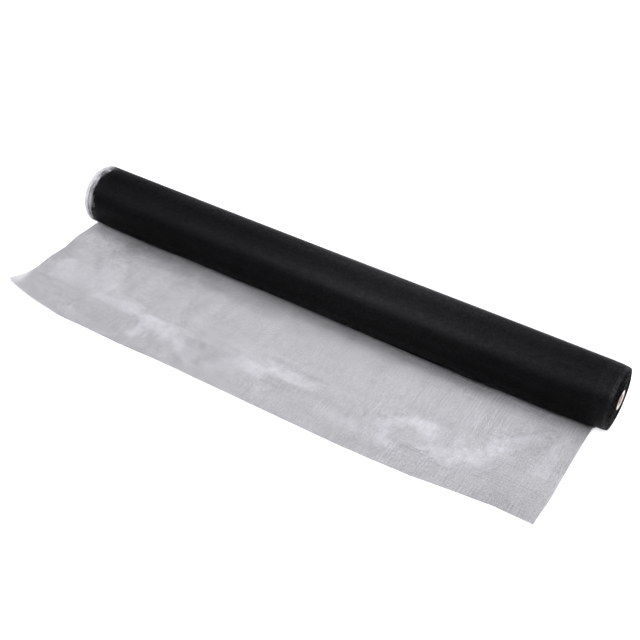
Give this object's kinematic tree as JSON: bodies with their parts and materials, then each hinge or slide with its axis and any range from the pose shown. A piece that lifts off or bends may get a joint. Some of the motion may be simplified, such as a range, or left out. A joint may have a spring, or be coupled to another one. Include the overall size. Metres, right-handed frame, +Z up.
{
  "type": "roll of insect screen mesh",
  "caption": "Roll of black woven insect screen mesh on a cardboard core, lying down with its loose end drawn out flat in front of it.",
  "frame": {"origin": "on the floor under the middle of the roll's axis", "axes": "+X along the roll, +Y away from the loose end, +Z up"},
  "size_m": [1.0261, 0.3199, 0.1048],
  "materials": {
    "wound_mesh": "black coated mesh, many turns deep, with a soft sheen",
    "sheer_mesh": "one layer of the same black mesh, sheer, pale along its folds",
    "cardboard": "plain kraft cardboard, matt"
  },
  "bodies": {
    "root": {"mesh_roll": "wound_mesh", "loose_end": "sheer_mesh", "core_tube": "cardboard"}
  },
  "joints": []
}
